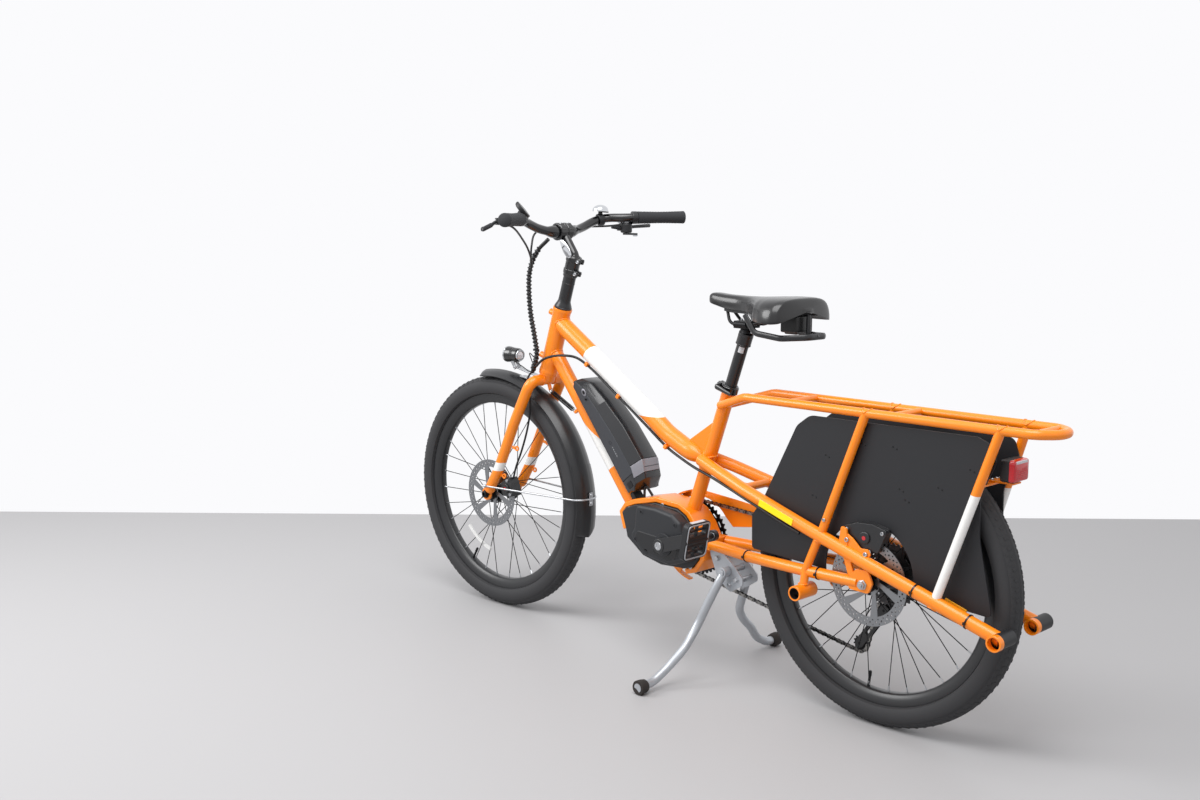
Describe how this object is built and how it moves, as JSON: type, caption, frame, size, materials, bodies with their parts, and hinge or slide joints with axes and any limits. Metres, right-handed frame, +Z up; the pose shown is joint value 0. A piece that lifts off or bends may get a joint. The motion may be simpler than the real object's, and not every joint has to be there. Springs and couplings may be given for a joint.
{
  "type": "longtail cargo bike",
  "caption": "Electric longtail cargo bike: low bent top tube, mid motor, battery on the down tube, rear rack with side panels, padded saddle and centre stand.",
  "frame": {"origin": "on the ground, in the middle of the bike's length and width", "axes": "+X points forward, +Y to the bike's left, +Z up"},
  "size_m": [1.9015, 0.651, 1.0769],
  "materials": {
    "frame_paint": "gloss paint",
    "black_paint": "satin paint",
    "black_plastic": "matt",
    "grey_plastic": "matt",
    "rubber": "matt",
    "tyre": "matt",
    "steel": "brushed",
    "dark_steel": "satin",
    "silver": "satin",
    "red_lens": "gloss",
    "vinyl": "gloss vinyl"
  },
  "bodies": {
    "frame": {"head_tube": "frame_paint", "top_tube": "frame_paint", "down_tube": "frame_paint", "seat_tube": "frame_paint", "motor_bracket": "frame_paint", "chain_guard": "frame_paint", "side_rail_left": "frame_paint", "side_rail_right": "frame_paint", "chainstay_left": "frame_paint", "chainstay_right": "frame_paint", "upright_front_left": "frame_paint", "upright_front_right": "frame_paint", "upright_rear_left": "frame_paint", "upright_rear_right": "frame_paint", "side_panel_left": "black_plastic", "side_panel_right": "black_plastic", "rack": "frame_paint", "tail_light": "red_lens", "battery_mount": "black_plastic", "drive_unit": "grey_plastic", "rear_caliper": "black_paint", "stand_plate": "silver", "derailleur": "black_paint", "chain": "dark_steel", "seat_clamp": "black_paint", "rear_cables": "rubber", "steering_spring": "dark_steel"},
    "steering": {"fork": "frame_paint", "front_axle": "steel", "front_fender": "black_plastic", "front_caliper": "black_paint", "headlight": "black_plastic", "stem": "black_paint", "handlebar": "black_paint", "grip_left": "rubber", "grip_right": "rubber", "controls_left": "black_plastic", "controls_right": "black_plastic", "bell": "silver", "harness": "rubber"},
    "front_wheel_set": {"front_tyre": "tyre", "front_wheel": "black_paint", "front_rotor": "steel"},
    "rear_wheel_set": {"rear_tyre": "tyre", "rear_wheel": "black_paint", "rear_rotor": "steel"},
    "gears": {"cassette": "steel"},
    "cranks": {"crank_left": "black_paint", "crank_right": "black_paint"},
    "left_pedal": {"pedal_left": "black_plastic"},
    "right_pedal": {"pedal_right": "black_plastic"},
    "stand": {"stand_legs": "silver"},
    "battery": {"battery_pack": "grey_plastic"},
    "seat": {"seatpost": "black_paint", "saddle_base": "black_plastic", "saddle_pad": "vinyl"},
    "seat_lever": {"clamp_lever": "black_paint"},
    "left_brake_lever": {"brake_lever_left": "black_paint"},
    "right_brake_lever": {"brake_lever_right": "black_paint"},
    "shifter": {"shift_lever": "black_plastic"}
  },
  "joints": [
    {"name": "steering_turn", "type": "hinge", "parent": "frame", "child": "steering", "pos_m": [0.57332, 0, 0.29051], "axis": [-0.3057, 0, 0.9521], "range_deg": [-52, 48], "deforming": ["steering_spring", "rear_cables", "harness"]},
    {"name": "front_wheel_spin", "type": "hinge", "parent": "steering", "child": "front_wheel_set", "pos_m": [0.6402, 0.00282, 0.31198], "axis": [-0.0382, 0.9992, -0.0123], "continuous": true},
    {"name": "rear_wheel_spin", "type": "hinge", "parent": "frame", "child": "rear_wheel_set", "pos_m": [-0.56475, 0, 0.312], "axis": [0, 1, 0], "continuous": true},
    {"name": "crank_spin", "type": "hinge", "parent": "frame", "child": "cranks", "pos_m": [-0.01875, 0, 0.295], "axis": [0, 1, 0], "continuous": true},
    {"name": "gear_spin", "type": "hinge", "parent": "frame", "child": "gears", "pos_m": [-0.56475, 0, 0.312], "axis": [0, 1, 0], "continuous": true},
    {"name": "left_pedal_spin", "type": "hinge", "parent": "cranks", "child": "left_pedal", "pos_m": [-0.18015, 0.1, 0.34838], "axis": [0, 1, 0], "continuous": true},
    {"name": "right_pedal_spin", "type": "hinge", "parent": "cranks", "child": "right_pedal", "pos_m": [0.14265, -0.1, 0.24162], "axis": [0, 1, 0], "continuous": true},
    {"name": "stand_fold", "type": "hinge", "parent": "frame", "child": "stand", "pos_m": [-0.17275, 0, 0.254], "axis": [0, 1, 0], "range_deg": [0, 95]},
    {"name": "battery_slide", "type": "slide", "parent": "frame", "child": "battery", "axis": [0.6285, 0, 0.7778], "range_m": [0, 0.025]},
    {"name": "seat_height", "type": "slide", "parent": "frame", "child": "seat", "axis": [-0.3256, 0, 0.9455], "range_m": [-0.04, 0.06]},
    {"name": "seat_lever_swing", "type": "hinge", "parent": "frame", "child": "seat_lever", "pos_m": [-0.12383, 0.0128, 0.67235], "axis": [-0.3256, 0, 0.9455], "range_deg": [-120, 0]},
    {"name": "left_brake_pull", "type": "hinge", "parent": "steering", "child": "left_brake_lever", "pos_m": [0.39578, 0.21803, 1.03441], "axis": [-0.0002, 0.0123, 0.9999], "range_deg": [0, 20], "stiffness_Nm_per_rad": 1},
    {"name": "right_brake_pull", "type": "hinge", "parent": "steering", "child": "right_brake_lever", "pos_m": [0.41226, -0.2129, 1.01869], "axis": [-0.0002, 0.0123, 0.9999], "range_deg": [-20, 0], "stiffness_Nm_per_rad": 1},
    {"name": "shift_push", "type": "hinge", "parent": "steering", "child": "shifter", "pos_m": [0.36423, -0.18674, 1.01686], "axis": [-0.0002, 0.0123, 0.9999], "range_deg": [0, 20], "stiffness_Nm_per_rad": 0.3}
  ],
  "couplings": [
    {"joint": "gear_spin", "follows": "crank_spin", "ratio": 1.9778}
  ]
}
